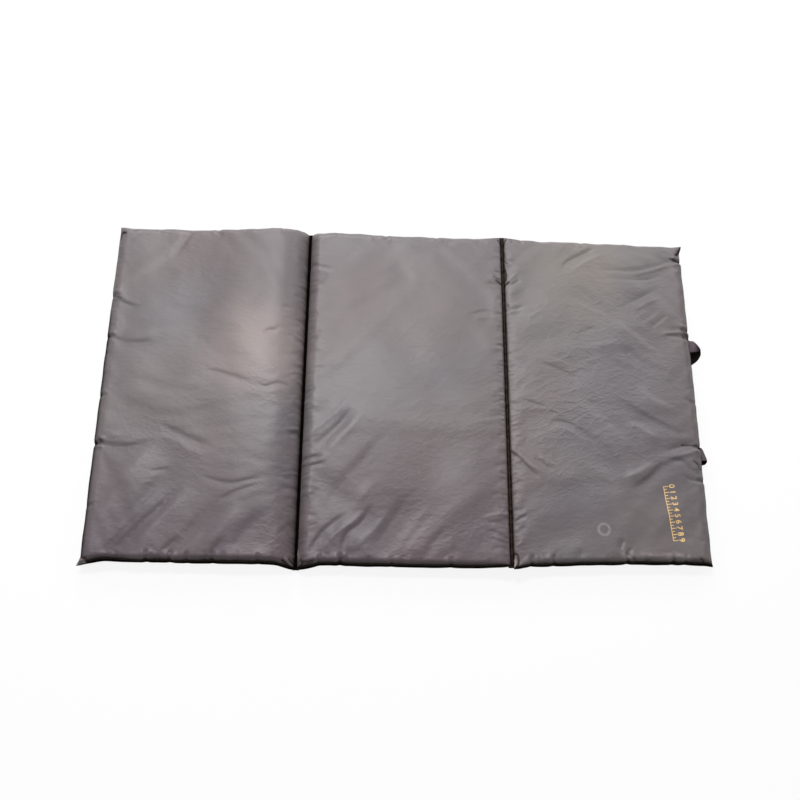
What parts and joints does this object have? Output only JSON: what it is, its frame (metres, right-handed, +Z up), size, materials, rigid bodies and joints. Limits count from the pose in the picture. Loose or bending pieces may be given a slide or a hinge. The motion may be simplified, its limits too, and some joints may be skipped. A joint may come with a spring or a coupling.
{
  "type": "folding unhooking mat",
  "caption": "Tri-fold padded fishing mat: crowned foam panels in a sewn coated-nylon cover with two hinge seams and a webbing carry handle tucked under one edge.",
  "frame": {"origin": "centre of the box round the open mat, on the ground", "axes": "+Z up out of the fishing face, +Y to the back edge along the hinge seams, +X to the edge with the carry handle"},
  "size_m": [1.0238, 0.606, 0.0423],
  "materials": {
    "coated_nylon": "grey coated woven nylon with a soft sheen",
    "coated_nylon_underside": "darker coated woven nylon, dull",
    "hinge_web_cloth": "two plies of the cover sewn together, matt",
    "foam": "pale open-cell foam, matt",
    "black_webbing": "black ribbed polypropylene webbing"
  },
  "bodies": {
    "centre_panel": {"centre_foam_slab": "foam", "centre_top_sheet": "coated_nylon", "centre_bottom_sheet": "coated_nylon_underside", "low_hinge_web": "hinge_web_cloth", "high_hinge_web": "hinge_web_cloth"},
    "left_panel": {"left_foam_slab": "foam", "left_top_sheet": "coated_nylon", "left_bottom_sheet": "coated_nylon_underside"},
    "right_panel": {"right_foam_slab": "foam", "right_top_sheet": "coated_nylon", "right_bottom_sheet": "coated_nylon_underside"},
    "handle": {"carry_handle": "black_webbing"}
  },
  "joints": [
    {"name": "fold_under", "type": "hinge", "parent": "centre_panel", "child": "left_panel", "pos_m": [-0.17103, 0, -0.0005], "axis": [0, -1, 0], "range_deg": [0, 179.5]},
    {"name": "fold_over", "type": "hinge", "parent": "centre_panel", "child": "right_panel", "pos_m": [0.16997, 0, 0.037], "axis": [0, -1, 0], "range_deg": [0, 179.5]},
    {"name": "handle_lift", "type": "hinge", "parent": "right_panel", "child": "handle", "pos_m": [0.49253, 0, 0.016], "axis": [0, -1, 0], "range_deg": [0, 100]}
  ]
}
